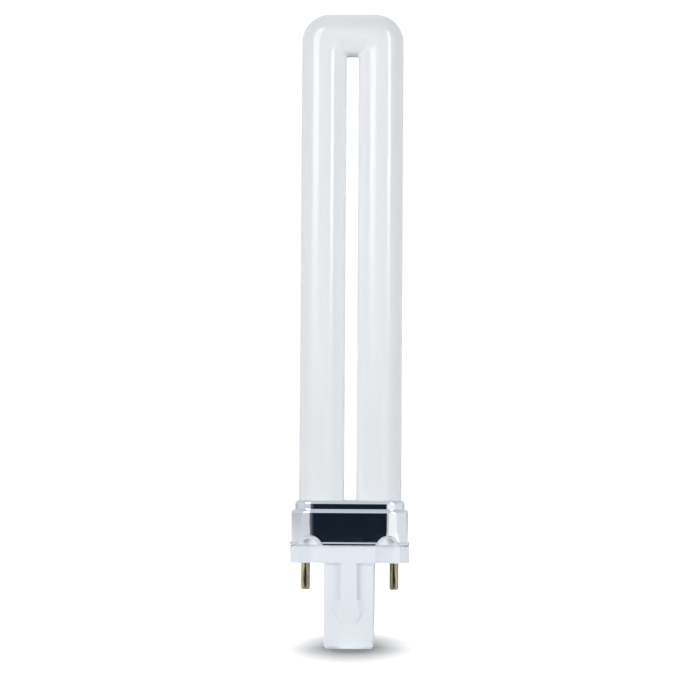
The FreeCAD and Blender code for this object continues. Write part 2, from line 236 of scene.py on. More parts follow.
class BulbStageSettings(PropertyGroup):
    azimuth: degrees("Azimuth", 1.45, "How far the camera stands to the right of the bulb's front")
    pitch: degrees("Pitch", 2.85, "How far the camera looks up")
    roll: degrees("Roll", 0.354, "How far the picture is turned clockwise")
    distance: length("Distance", 602.5, "From the camera to the point it looks at")
    aim: length("Aim", 76.98, "Height of the point the camera looks at")
    lens: factor("Lens", 118.64, "Focal length on a 36 mm wide sensor")
    shift: factor("Shift", -0.00157, "Sideways shift of the picture")
    surround: tint("Surround", (0.745, 0.765, 0.80), "The room round the bulb, in reflections")
    overhead: tint("Overhead", (0.56, 0.64, 0.71), "The room above the bulb, in reflections")
    shade: factor("Shade", 0.3, "Share of the room's light that matt surfaces get")
    softbox_left: factor("Left softbox", 4.5, "Brightness of the left softbox, in reflections")
    softbox_right: factor("Right softbox", 5.8, "Brightness of the right softbox, in reflections")
    softbox_fade: factor("Softbox fade", 0.22, "Share of a softbox's height over which its foot fades")
    card_left: tint("Left card", (0.67, 0.69, 0.74), "The low card at the left, in reflections")
    card_right: tint("Right card", (1.0, 1.0, 1.0), "The low card at the right, in reflections")
    card_side: tint("Side card", (0.80, 0.81, 0.84), "The low card at the right side, in reflections")
    dark: tint("Dark", (0.008, 0.014, 0.024), "The dark card and mats, in reflections")
    dark_edge: tint("Dark edge", (0.19, 0.21, 0.25), "The left edge of the dark card, in reflections")
    ceiling: factor("Ceiling", 3.6, "Brightness of the light panel above the bulb")
    key: factor("Key", 5.5, "Brightness of the main light at the left")
    fill: factor("Fill", 4.15, "Brightness of the weaker light at the right")
    floor_light: factor("Floor", 0.7, "How light the floor is to the bulb")
    floor_seen: factor("Floor seen", 0.45, "How light the floor is to the camera, in the shadow")
    floor_gloss: factor("Floor gloss", 0.38, "How much brighter the floor is in reflections")
    shadow_core: length("Shadow core", 5.3, "Sideways reach of the shadow's dark middle")
    shadow_reach: length("Shadow reach", 20.8, "Where the floor is white to the camera, sideways")
    shadow_squeeze: factor("Shadow squeeze", 0.295, "Width of the shadow against its depth")
    shadow_shift: length("Shadow shift", 0.6, "How far the shadow's middle lies to the right")
    # The floor glows for matt surfaces near the post's foot: painted light that stands in for light bounced
    # off the floor.
    painted_bounce: factor("Bounce", 0.32, "Light that the floor at the post's foot gives back to the post")
    painted_bounce_start: length("Bounce start", 3.5, "Where that light begins to fade, sideways")
    painted_bounce_end: length("Bounce end", 4.8, "Where that light ends, sideways")


# Editing helpers


def object_mode():
    if bpy.context.mode != "OBJECT":
        bpy.ops.object.mode_set(mode="OBJECT")


def choose(*objects):
    """Selects only these objects and makes the first one active."""
    object_mode()
    bpy.ops.object.select_all(action="DESELECT")
    for item in objects:
        item.select_set(True)
    bpy.context.view_layer.objects.active = objects[0]


def named(name):
    """Names the new object and its mesh."""
    item = bpy.context.object
    item.name = name
    item.data.name = name
    return item


def apply_place(item):
    choose(item)
    bpy.ops.object.transform_apply(location=True, rotation=True, scale=True)


def remove(*objects):
    choose(*objects)
    bpy.ops.object.delete()


def edit(item, mode="VERT"):
    """Opens a piece for editing, with everything selected."""
    choose(item)
    bpy.ops.object.mode_set(mode="EDIT")
    bpy.ops.mesh.select_mode(type=mode)
    bpy.ops.mesh.select_all(action="SELECT")


def close_rim():
    """Closes the open rim of the piece that is being edited with one face, and leaves it selected."""
    bpy.ops.mesh.select_mode(type="EDGE")
    bpy.ops.mesh.select_all(action="DESELECT")
    bpy.ops.mesh.select_non_manifold()
    bpy.ops.mesh.edge_face_add()


def face_outward(item):
    """Turns every face of a closed piece to look out."""
    edit(item, "FACE")
    bpy.ops.mesh.normals_make_consistent(inside=False)
    object_mode()


def add_modifier(item, kind, **values):
    """Adds a modifier and applies it at once."""
    choose(item)
    bpy.ops.object.modifier_add(type=kind)
    modifier = item.modifiers[-1]
    for key, value in values.items():
        setattr(modifier, key, value)
    bpy.ops.object.modifier_apply(modifier=modifier.name)


def combine(item, other, operation):
    """A boolean of two closed pieces. The other piece is used up."""
    add_modifier(item, "BOOLEAN", operation=operation, object=other, solver="EXACT")
    if not item.data.polygons:
        raise RuntimeError(f"{operation.lower()} of {item.name} and {other.name} left nothing")
    remove(other)


def soften(item, width, angle):
    """Rounds the edges of a piece that turn by more than an angle, in degrees."""
    limit = math.radians(angle)
    add_modifier(item, "BEVEL", width=width, segments=3, limit_method="ANGLE", angle_limit=limit)


def tidy(item, angle=30):
    """Merges doubled points and shades smooth, with edges sharper than an angle kept crisp."""
    edit(item)
    bpy.ops.mesh.remove_doubles(threshold=SAME_POINT)
    bpy.ops.mesh.normals_make_consistent(inside=False)
    object_mode()
    choose(item)
    bpy.ops.object.shade_smooth_by_angle(angle=math.radians(angle))
    add_modifier(item, "WEIGHTED_NORMAL", keep_sharp=True, weight=80)


def finish_piece(item, material, node):
    """Gives a finished piece its material and its place on the frame, instead of a CAD node."""
    item.data.materials.clear()
    item.data.materials.append(material)
    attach(item, "root")
    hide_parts(node)


# Forms


def ring_body(name, rings, around):
    """A closed body drawn ring by ring. A ring is (x, z, turn about Y, half width, half depth)."""
    x, z, turn, half_width, half_depth = rings[0]
    bpy.ops.mesh.primitive_circle_add(vertices=around, radius=half_width, location=(x, 0, z))
    body = named(name)
    apply_place(body)
    edit(body)
    bpy.ops.transform.resize(value=(1, half_depth / half_width, 1), center_override=(x, 0, z))
    bpy.ops.mesh.edge_face_add()
    for before, after in zip(rings, rings[1:]):
        extrude_ring(before, after)
    object_mode()
    face_outward(body)
    return body


def extrude_ring(before, after):
    """Extrudes the selected end of a body and turns, sizes and moves it to the next ring."""
    x, z, turn, half_width, half_depth = before
    centre = (x, 0, z)
    bpy.ops.mesh.extrude_region_move()
    if turn:
        bpy.ops.transform.rotate(value=turn, orient_axis="Y", center_override=centre)
    sizes = (after[3] / half_width, after[4] / half_depth, 1)
    if sizes != (1, 1, 1):
        bpy.ops.transform.resize(value=sizes, center_override=centre)
    if after[2]:
        bpy.ops.transform.rotate(value=-after[2], orient_axis="Y", center_override=centre)
    bpy.ops.transform.translate(value=(after[0] - x, 0, after[1] - z))


def rounded_plate(name, half_x, half_y, corner, z, segments=20):
    """A level face in the form of a rounded rectangle about the bulb's axis."""
    bpy.ops.mesh.primitive_plane_add(size=2, location=(0, 0, z))
    plate = named(name)
    plate.scale = (half_x, half_y, 1)
    apply_place(plate)
    edit(plate)
    bpy.ops.mesh.bevel(offset=corner, segments=segments, affect="VERTICES")
    object_mode()
    return plate


def climb(points):
    """Carries the selected face through (setback, height) points by extrudes and insets."""
    for (setback, height), (next_setback, next_height) in zip(points, points[1:]):
        rise, inward = next_height - height, next_setback - setback
        if inward > NO_STEP:
            bpy.ops.mesh.inset(thickness=inward, depth=rise, use_even_offset=True)
        else:
            bpy.ops.mesh.extrude_region_move(TRANSFORM_OT_translate={"value": (0, 0, rise)})


def arc(setback, height, radius, turn, steps=6):
    """Points of a quarter round, as (setback, height).

    Turn "over" rolls from a wall onto a top, and turn "foot" from a ledge into a wall.
    """
    points = []
    for step in range(1, steps + 1):
        angle = math.pi / 2 * step / steps
        if turn == "over":
            points.append((setback + radius * (1 - math.cos(angle)), height + radius * math.sin(angle)))
        else:
            points.append((setback + radius * math.sin(angle), height + radius * (1 - math.cos(angle))))
    return points


def stepped_block(name, outline, profile, foot=None):
    """A closed block over a rounded outline, drawn up through a profile. A foot rounds its lower edge."""
    half_x, half_y, corner = outline
    block = rounded_plate(name, half_x, half_y, corner, profile[0][1])
    edit(block, "FACE")
    rise = profile[1][1] - profile[0][1]
    bpy.ops.mesh.extrude_region_move(TRANSFORM_OT_translate={"value": (0, 0, rise)})
    climb(profile[1:])
    close_rim()
    if foot:
        bpy.ops.mesh.select_mode(type="FACE")
        climb(foot)
    object_mode()
    face_outward(block)
    return block


def upright_cylinder(name, radius, x, y, bottom, top, around=64):
    bpy.ops.mesh.primitive_cylinder_add(
        vertices=around, radius=radius, depth=top - bottom, location=(x, y, (bottom + top) / 2)
    )
    cylinder = named(name)
    apply_place(cylinder)
    return cylinder


def box(name, low, high):
    """A box between two corners."""
    centre = [(a + b) / 2 for a, b in zip(low, high)]
    bpy.ops.mesh.primitive_cube_add(size=1, location=centre)
    item = named(name)
    item.scale = [b - a for a, b in zip(low, high)]
    apply_place(item)
    return item


def cut_off(item, point, normal):
    """Cuts away what lies past a plane and closes the cut."""
    edit(item)
    bpy.ops.mesh.bisect(plane_co=point, plane_no=normal, use_fill=True, clear_outer=True)
    object_mode()


def mirrored_copy(item, name, factors):
    """A mirrored copy with its own mesh."""
    choose(item)
    bpy.ops.object.duplicate()
    copy = named(name)
    bpy.ops.transform.resize(value=factors, center_override=(0, 0, 0))
    apply_place(copy)
    face_outward(copy)
    return copy


def flute_cutters(settings, grow, foot, around=96):
    """The four round-ended grooves as closed cutters, grown by a wall."""
    radius = settings.radius + grow
    rings = [(0, foot, 0, radius, radius)]
    steps = around // 4
    for step in range(steps):
        angle = math.pi / 2 * step / steps
        reach = radius * math.cos(angle)
        rings.append((0, settings.end + radius * math.sin(angle), 0, reach, reach))
    first = ring_body("flute", rings, around)
    bpy.ops.transform.translate(value=(settings.x, -settings.y, 0))
    apply_place(first)
    cutters = [first]
    for number, factors in enumerate([(-1, 1, 1), (1, -1, 1), (-1, -1, 1)]):
        cutters.append(mirrored_copy(first, f"flute_{number}", factors))
    return cutters


def cut_flutes(item, settings, grow, foot):
    for cutter in flute_cutters(settings, grow, foot):
        combine(item, cutter, "DIFFERENCE")


# Materials


def new_material(name):
    """A material with one Principled shader, and the tools to add to it."""
    material = bpy.data.materials.new(name)
    material.use_nodes = True
    shader = material.node_tree.nodes["Principled BSDF"]
    return material, material.node_tree, shader


def set_values(node, **values):
    """Sets a node's inputs by name, with spaces written as underscores. Another node's output is linked."""
    for key, value in values.items():
        socket = node.inputs[key.replace("_", " ")]
        if isinstance(value, bpy.types.NodeSocket):
            node.id_data.links.new(value, socket)
        else:
            socket.default_value = (*value, 1) if socket.type == "RGBA" else value


def new_node(tree, kind, **values):
    """A node with some of its inputs set or linked."""
    node = tree.nodes.new(kind)
    set_values(node, **values)
    return node


def object_noise(tree, scale, detail=3.0, stretch=(1, 1, 1)):
    """Noise over the object's own coordinates."""
    place = new_node(tree, "ShaderNodeTexCoord").outputs["Object"]
    mapping = new_node(tree, "ShaderNodeMapping", Vector=place, Scale=stretch)
    stretched = mapping.outputs["Vector"]
    noise = new_node(tree, "ShaderNodeTexNoise", Vector=stretched, Scale=scale, Detail=detail)
    return noise.outputs["Fac"]


def spread(tree, value, low, high, to_low, to_high):
    """Maps a range of a value to another range."""
    node = new_node(tree, "ShaderNodeMapRange", Value=value)
    set_values(node, From_Min=low, From_Max=high, To_Min=to_low, To_Max=to_high)
    return node.outputs["Result"]


def blend_colours(tree, value, first, second):
    """Goes from a first colour to a second as a value goes from 0 to 1."""
    node = new_node(tree, "ShaderNodeMix")
    node.data_type = "RGBA"
    set_values(node, Factor=value, A=first, B=second)
    return node.outputs["Result"]


def calculate(tree, operation, *terms):
    """A Math node. A term is a number or another node's output."""
    node = new_node(tree, "ShaderNodeMath")
    node.operation = operation
    for socket, term in zip(node.inputs, terms):
        if isinstance(term, bpy.types.NodeSocket):
            tree.links.new(term, socket)
        else:
            socket.default_value = term
    return node.outputs["Value"]


def place_along(tree, axis, coordinates="Object"):
    """The place along an axis of the object itself, or the view direction's with Generated in a world."""
    place = new_node(tree, "ShaderNodeTexCoord").outputs[coordinates]
    return new_node(tree, "ShaderNodeSeparateXYZ", Vector=place).outputs[axis]


def bump(tree, shader, value, strength, distance):
    node = new_node(tree, "ShaderNodeBump", Height=value, Strength=strength, Distance=distance)
    set_values(shader, Normal=node.outputs["Normal"])


def coated_glass(glass):
    """White powder seen through clear glass, painted darker at the bend and lighter lower down as painted
    shade. The glass alone gives the gloss.
    """
    material, tree, shader = new_material("coated_glass")
    middle, blend = glass.painted_shade_height, glass.painted_shade_blend
    # Painted shade by height: the coating is darker towards the bend and lighter lower down.
    rise = spread(tree, place_along(tree, "Z"), middle - blend, middle + blend, 0, 1)
    colour = blend_colours(tree, rise, tuple(glass.coating_lit_low), tuple(glass.coating))
    set_values(shader, Base_Color=colour, Roughness=0.9, Specular_IOR_Level=0.0)
    set_values(shader, Coat_Weight=1.0, Coat_Roughness=0.03, Coat_IOR=1.5)
    return material


def polished_metal(colour):
    """Drawn sheet, polished, with faint waves and wear."""
    material, tree, shader = new_material("collar_metal")
    wear = object_noise(tree, scale=900, detail=5, stretch=(1, 1, 0.25))
    rough = spread(tree, wear, *NOISE_RANGE, 0.035, 0.07)
    set_values(shader, Base_Color=colour, Metallic=1.0, Roughness=rough)
    bump(tree, shader, object_noise(tree, scale=160, detail=1), strength=0.08, distance=0.1 * MM)
    return material


def moulded_plastic(colour):
    """Smooth white plastic with a very fine surface."""
    material, tree, shader = new_material("white_plastic")
    set_values(shader, Base_Color=colour, Roughness=0.36, IOR=1.48)
    set_values(shader, Subsurface_Weight=0.12, Subsurface_Scale=0.8 * MM, Subsurface_Radius=(1.0, 1.0, 1.0))
    bump(tree, shader, object_noise(tree, scale=2600, detail=2), strength=0.06, distance=0.1 * MM)
    return material


def worn_brass(name, bright, dull):
    """Brass with patches of tarnish."""
    material, tree, shader = new_material(name)
    patches = object_noise(tree, scale=700, detail=6, stretch=(1, 1, 0.6))
    colour = blend_colours(tree, spread(tree, patches, *TARNISH_RANGE, 0, 1), bright, dull)
    rough = spread(tree, patches, *NOISE_RANGE, 0.1, 0.2)
    set_values(shader, Base_Color=colour, Metallic=1.0, Roughness=rough)
    return material


def plain_material(name, colour, metallic, roughness):
    """For pieces inside the base, with a little unevenness."""
    material, tree, shader = new_material(name)
    smoother, rougher = roughness * (1 - UNEVENNESS), roughness * (1 + UNEVENNESS)
    rough = spread(tree, object_noise(tree, scale=1500), *NOISE_RANGE, smoother, rougher)
    set_values(shader, Base_Color=colour, Metallic=metallic, Roughness=rough)
    return material


def emptied_tree(owner):
    """The node tree of a material or world, without any node."""
    owner.use_nodes = True
    owner.node_tree.nodes.clear()
    return owner.node_tree


# Operators


def bend_rings(glass, side):
    """Rings of half the bend, fanned about a top corner of the slot.

    The left half runs up to the middle, and the right half from there down.
    """
    pivot_x = glass.half_spacing - glass.radius - glass.slot_corner
    pivot_z = glass.top - glass.bridge_height - glass.slot_corner
    straight_x = glass.half_spacing + glass.radius - glass.outer_corner - pivot_x
    straight_z = glass.top - glass.outer_corner - pivot_z
    rings = []
    for step in range(glass.bend_steps + 1):
        angle = math.pi / 2 * step / glass.bend_steps
        outer = outline_reach(angle, straight_x, straight_z, glass.outer_corner)
        middle, half = (outer + glass.slot_corner) / 2, (outer - glass.slot_corner) / 2
        x, z = -pivot_x - middle * math.cos(angle), pivot_z + middle * math.sin(angle)
        rings.append((x, z, angle, half, glass.radius))
    if side > 0:
        rings = [(-x, z, math.pi - turn, half, depth) for x, z, turn, half, depth in reversed(rings)]
    return rings


def outline_reach(angle, straight_x, straight_z, radius):
    """How far the bend's outline lies from the slot's corner, at an angle above the horizontal."""
    reach_x, reach_z = straight_x + radius, straight_z + radius
    cosine, sine = math.cos(angle), math.sin(angle)
    if reach_x * sine <= straight_z * cosine:
        return reach_x / cosine
    if reach_z * cosine <= straight_x * sine:
        return reach_z / sine
    aside = straight_x * sine - straight_z * cosine
    return straight_x * cosine + straight_z * sine + math.sqrt(radius**2 - aside**2)


class BULB_OT_glass(Operator):
    """Builds the glass tube, from one pinch over the bend to the other"""

    bl_idname = "bulb.glass"
    bl_label = "Glass Tube"

    def execute(self, context):
        glass = context.scene.bulb_glass
        radius = glass.radius
        foot = [
            (glass.blade_end, glass.blade_width / 2, glass.blade_thickness / 2),
            (glass.blade_top, glass.blade_width / 2, glass.blade_thickness / 2),
            (glass.shoulder, radius, radius),
            (glass.shoulder + glass.straight_start, radius, radius),
            (glass.top - glass.bridge_height - glass.straight_end, radius, radius),
        ]
        up = [(-glass.half_spacing, z, 0, across, deep) for z, across, deep in foot]
        down = [(glass.half_spacing, z, math.pi, across, deep) for z, across, deep in reversed(foot)]
        rings = up + bend_rings(glass, -1) + bend_rings(glass, 1) + down
        tube = ring_body("glass_envelope", rings, glass.around)
        choose(tube)
        bpy.ops.object.shade_smooth_by_angle(angle=math.radians(60))
        finish_piece(tube, coated_glass(glass), "glass_tube")
        return {"FINISHED"}


class BULB_OT_collar(Operator):
    """Builds the drawn metal collar, dented over the flutes and pierced for the tubes"""

    bl_idname = "bulb.collar"
    bl_label = "Collar"

    def execute(self, context):
        scene = context.scene
        collar, flutes, glass = scene.bulb_collar, scene.bulb_flutes, scene.bulb_glass
        shell = self.outside(collar)
        cut_flutes(shell, flutes, 0, collar.bottom - 2 * MARGIN)
        soften(shell, collar.dent_round, angle=35)
        inside = self.inside(collar)
        cut_flutes(inside, flutes, collar.sheet, collar.bottom - 3 * MARGIN)
        combine(shell, inside, "DIFFERENCE")
        radius = glass.radius + collar.hole_gap
        low, high = collar.top - 2 * MARGIN, collar.top + 2 * MARGIN
        for side in SIDES.values():
            hole = upright_cylinder("hole", radius, side * glass.half_spacing, 0, low, high, glass.around)
            combine(shell, hole, "DIFFERENCE")
        soften(shell, collar.rim_round, angle=35)
        tidy(shell)
        shell.name = "collar_shell"
        finish_piece(shell, polished_metal(tuple(collar.metal)), "collar")
        return {"FINISHED"}

    def outside(self, collar):
        """The outside form: hem, lower tier, shoulder, upper tier and top."""
        hem, crease = collar.hem_reach, collar.crease
        hem_top, hem_round = collar.bottom + collar.hem_height, collar.hem_round
        profile = [(0, collar.bottom + hem_round), (0, hem_top - hem_round)]
        profile += arc(0, hem_top - hem_round, hem_round, "over")
        profile += [(hem, hem_top), (hem, collar.shoulder - collar.setback)]
        profile += arc(hem, collar.shoulder - collar.setback, collar.setback - crease, "over", steps=8)
        upper = hem + collar.setback
        profile += arc(upper - crease, collar.shoulder - crease, crease, "foot", steps=4)
        profile += [(upper, collar.top - collar.top_round)]
        profile += arc(upper, collar.top - collar.top_round, collar.top_round, "over", steps=8)
        foot = [(0, 0)] + arc(0, 0, hem_round, "over")
        outline = (collar.half_width + hem, collar.half_depth + hem, collar.corner + hem)
        return stepped_block("collar_outside", outline, profile, foot)

    def inside(self, collar):
        """The space inside the sheet."""
        sheet, setback = collar.sheet, collar.setback
        ledge, top = collar.shoulder - sheet, collar.top - sheet
        profile = [(0, collar.bottom - MARGIN), (0, ledge - (setback - sheet))]
        profile += arc(0, ledge - (setback - sheet), setback - sheet, "over")
        profile += [(setback, ledge), (setback, top - (collar.top_round - sheet))]
        profile += arc(setback, top - (collar.top_round - sheet), collar.top_round - sheet, "over")
        outline = (collar.half_width - sheet, collar.half_depth - sheet, collar.corner - sheet)
        return stepped_block("collar_inside", outline, profile)


class BULB_OT_base(Operator):
    """Builds the moulded base: fluted flange, skirt, post, ribs and catches"""

    bl_idname = "bulb.base"
    bl_label = "Base"

    def execute(self, context):
        scene = context.scene
        base, flutes, collar, pins = scene.bulb_base, scene.bulb_flutes, scene.bulb_collar, scene.bulb_pins
        body = self.flange(base)
        cut_flutes(body, flutes, 0, base.seat - 3 * MARGIN)
        soften(body, base.edge_round, angle=40)
        combine(body, self.post(base), "UNION")
        self.add_ribs(body, base)
        self.add_skirt(body, base, collar, flutes)
        self.cut_well(body, base)
        self.add_bosses(body, base, pins)
        tidy(body, angle=15)
        body.name = "base_shell"
        finish_piece(body, moulded_plastic(tuple(base.plastic)), "base_housing")
        return {"FINISHED"}

    def flange(self, base):
        """The flange before its flutes."""
        profile = [(0, base.seat + base.flange_round), (0, base.flange_top)]
        foot = [(0, 0)] + arc(0, 0, base.flange_round, "over", steps=5)
        outline = (base.flange_half_width, base.flange_half_depth, base.flange_corner)
        return stepped_block("flange", outline, profile, foot)

    def add_ribs(self, body, base):
        """Adds the rib and the catch at the front, and the same at the back."""
        for piece in (self.rib(base), self.catch(base)):
            back = mirrored_copy(piece, piece.name + "_back", (1, -1, 1))
            combine(body, piece, "UNION")
            combine(body, back, "UNION")

    def add_skirt(self, body, base, collar, flutes):
        """Adds the skirt inside the collar and hollows it down to the flange's floor."""
        gap = base.skirt_gap
        foot = base.flange_top - base.skirt_sink
        skirt = self.fluted(collar, flutes, gap, foot, base.skirt_top)
        combine(body, skirt, "UNION")
        hollow = self.fluted(collar, flutes, gap + base.wall, base.floor_top, base.skirt_top + MARGIN)
        combine(body, hollow, "DIFFERENCE")

    def cut_well(self, body, base):
        """Hollows the post."""
        inset = base.well_inset
        low = (-base.post_half_width + inset, -base.post_half_depth + inset, base.well_floor)
        high = (base.post_half_width - inset, base.post_half_depth - inset, base.floor_top + MARGIN)
        combine(body, box("well", low, high), "DIFFERENCE")

    def add_bosses(self, body, base, pins):
        """Adds the bosses for the pins and bores them through."""
        bottom, top = base.seat - MARGIN, pins.boss_top + MARGIN
        for x in (side * pins.x for side in SIDES.values()):
            boss = upright_cylinder("boss", pins.boss, x, 0, base.floor_top - MARGIN, pins.boss_top)
            combine(body, boss, "UNION")
            combine(body, upright_cylinder("hole", pins.shank, x, 0, bottom, top), "DIFFERENCE")

    def fluted(self, collar, flutes, inset, bottom, top):
        """A block that follows the collar's wall, set in by an inset, with the flutes cut in."""
        outline = (collar.half_width - inset, collar.half_depth - inset, collar.corner - inset)
        block = stepped_block("fluted", outline, [(0, bottom), (0, top)])
        cut_flutes(block, flutes, inset, bottom - 2 * MARGIN)
        return block

    def post(self, base):
        """The post, narrowed a little towards its end."""
        outline = (base.post_half_width, base.post_half_depth, base.post_corner)
        post = rounded_plate("post", *outline, base.floor_top, segments=5)
        edit(post, "FACE")
        bpy.ops.mesh.flip_normals()
        drop = base.floor_top - base.post_chamfer
        bpy.ops.mesh.extrude_region_move(TRANSFORM_OT_translate={"value": (0, 0, -drop)})
        narrow = (1 - base.post_draft / base.post_half_width, 1 - base.post_draft / base.post_half_depth, 1)
        bpy.ops.transform.resize(value=narrow, center_override=(0, 0, base.post_chamfer))
        for across, down in ROUNDED_CHAMFER:
            bpy.ops.mesh.inset(thickness=base.post_chamfer * across, depth=base.post_chamfer * down)
        close_rim()
        object_mode()
        face_outward(post)
        return post

    def post_face(self, base):
        """Where the post's front face lies at its end, front to back."""
        return -base.post_half_depth + base.post_draft

    def wall_middle(self, base):
        """The middle of the post's front wall, in which ribs and catches are rooted."""
        return -base.post_half_depth + base.well_inset / 2

    def slope(self, base, face):
        """The plane on which a rib runs back to the post's face: a point and the outward direction."""
        run = self.post_face(base) + base.flange_half_depth
        rise = base.rib_turn - base.rib_tip
        return (0, face, base.rib_turn), Vector((0, -rise, -run)).normalized()

    def rib(self, base):
        """The front rib. It stands out from the flange by a hair, and slopes back to the post."""
        face = -base.flange_half_depth - base.hair
        low = (-base.rib_half_width, face, base.rib_tip)
        high = (base.rib_half_width, self.wall_middle(base), base.seat + MARGIN)
        rib = box("rib", low, high)
        cut_off(rib, *self.slope(base, face))
        face_outward(rib)
        soften(rib, base.edge_round, angle=25)
        return rib

    def catch(self, base):
        """The arrow-shaped catch on the front rib, with wings that slope back to the post."""
        face = -base.flange_half_depth - 2 * base.hair
        foot = self.post_face(base)
        narrow, wide = base.rib_half_width, base.catch_half_width
        high = (wide, self.wall_middle(base), base.catch_ledge)
        catch = box("catch", (-wide, face, base.rib_tip), high)
        cut_off(catch, *self.slope(base, face))
        for side in SIDES.values():
            taper = Vector((side * (base.catch_shoulder - base.rib_tip), 0, narrow - wide)).normalized()
            cut_off(catch, (side * wide, 0, base.catch_shoulder), taper)
            wing = Vector((side * (foot - face), narrow - wide, 0)).normalized()
            cut_off(catch, (side * narrow, face, 0), wing)
        face_outward(catch)
        soften(catch, base.edge_round, angle=20)
        return catch


class BULB_OT_pins(Operator):
    """Builds the two brass contact pins"""

    bl_idname = "bulb.pins"
    bl_label = "Contact Pins"

    def execute(self, context):
        pins, base = context.scene.bulb_pins, context.scene.bulb_base
        rings = []
        steps = 6
        for step in range(steps + 1):
            angle = math.pi / 2 * step / steps
            reach = pins.radius - pins.tip_round * (1 - math.sin(angle))
            rings.append((0, pins.tip + pins.tip_round * (1 - math.cos(angle)), 0, reach, reach))
        for z, reach in [
            (base.seat, pins.radius),
            (base.seat, pins.shank),
            (pins.boss_top, pins.shank),
            (pins.boss_top, pins.head),
            (pins.head_top, pins.head),
            (pins.head_top, pins.bore),
            (pins.bore_floor, pins.bore),
        ]:
            rings.append((0, z, 0, reach, reach))
        first = ring_body("contact_left", rings, pins.around)
        bpy.ops.transform.translate(value=(-pins.x, 0, 0))
        apply_place(first)
        bpy.ops.object.shade_smooth_by_angle(angle=math.radians(30))
        second = mirrored_copy(first, "contact_right", (-1, 1, 1))
        for name, item in zip(SIDES, (first, second)):
            brass = worn_brass("brass_" + name, tuple(pins.brass), tuple(pins.tarnish))
            finish_piece(item, brass, "pin_" + name)
        return {"FINISHED"}


class BULB_OT_inner(Operator):
    """Gives the pieces inside the base their materials"""

    bl_idname = "bulb.inner"
    bl_label = "Inner Pieces"

    def execute(self, context):
        finishes = {name: plain_material(name, *look) for name, look in INNER_LOOKS.items()}
        slots = {part["node"]: part["material_slot"] for part in frame["record"]["subparts"]}
        for name, node in frame["nodes"].items():
            if slots[name] in finishes:
                node.data.materials.clear()
                node.data.materials.append(finishes[slots[name]])
        return {"FINISHED"}


def glow(name, colour, strength, fade=None):
    """A material that only gives light.

    A fade is (axis, start, end, colour at the start), along a panel that runs from -0.5 to 0.5.
    """
    material = bpy.data.materials.new(name)
    tree = emptied_tree(material)
    light = new_node(tree, "ShaderNodeEmission", Color=colour, Strength=strength)
    if fade:
        axis, start, end, first = fade
        ramp = spread(tree, place_along(tree, axis), start, end, 0, 1)
        set_values(light, Color=blend_colours(tree, ramp, first, colour))
    new_node(tree, "ShaderNodeOutputMaterial", Surface=light.outputs["Emission"])
    return material


def light_panel(name, place, turn, size, material, diffuse=True, glossy=True):
    """A panel in the studio, never seen by the camera and never in the light's way."""
    bpy.ops.mesh.primitive_plane_add(size=1, location=place, rotation=turn)
    panel = named(name)
    panel.scale = (*size, 1)
    panel.data.materials.append(material)
    panel.visible_camera = False
    panel.visible_shadow = False
    panel.visible_diffuse = diffuse
    panel.visible_glossy = glossy


def upright_panel(name, material, diffuse=False, glossy=True):
    """A panel that stands facing the bulb, seen only in its gloss unless told otherwise."""
    azimuth, distance, width, low, high = UPRIGHT_PANELS[name]
    angle = math.radians(azimuth)
    place = (distance * math.sin(angle), -distance * math.cos(angle), (low + high) / 2)
    light_panel(name, place, (math.pi / 2, 0, angle), (width, high - low), material, diffuse, glossy)


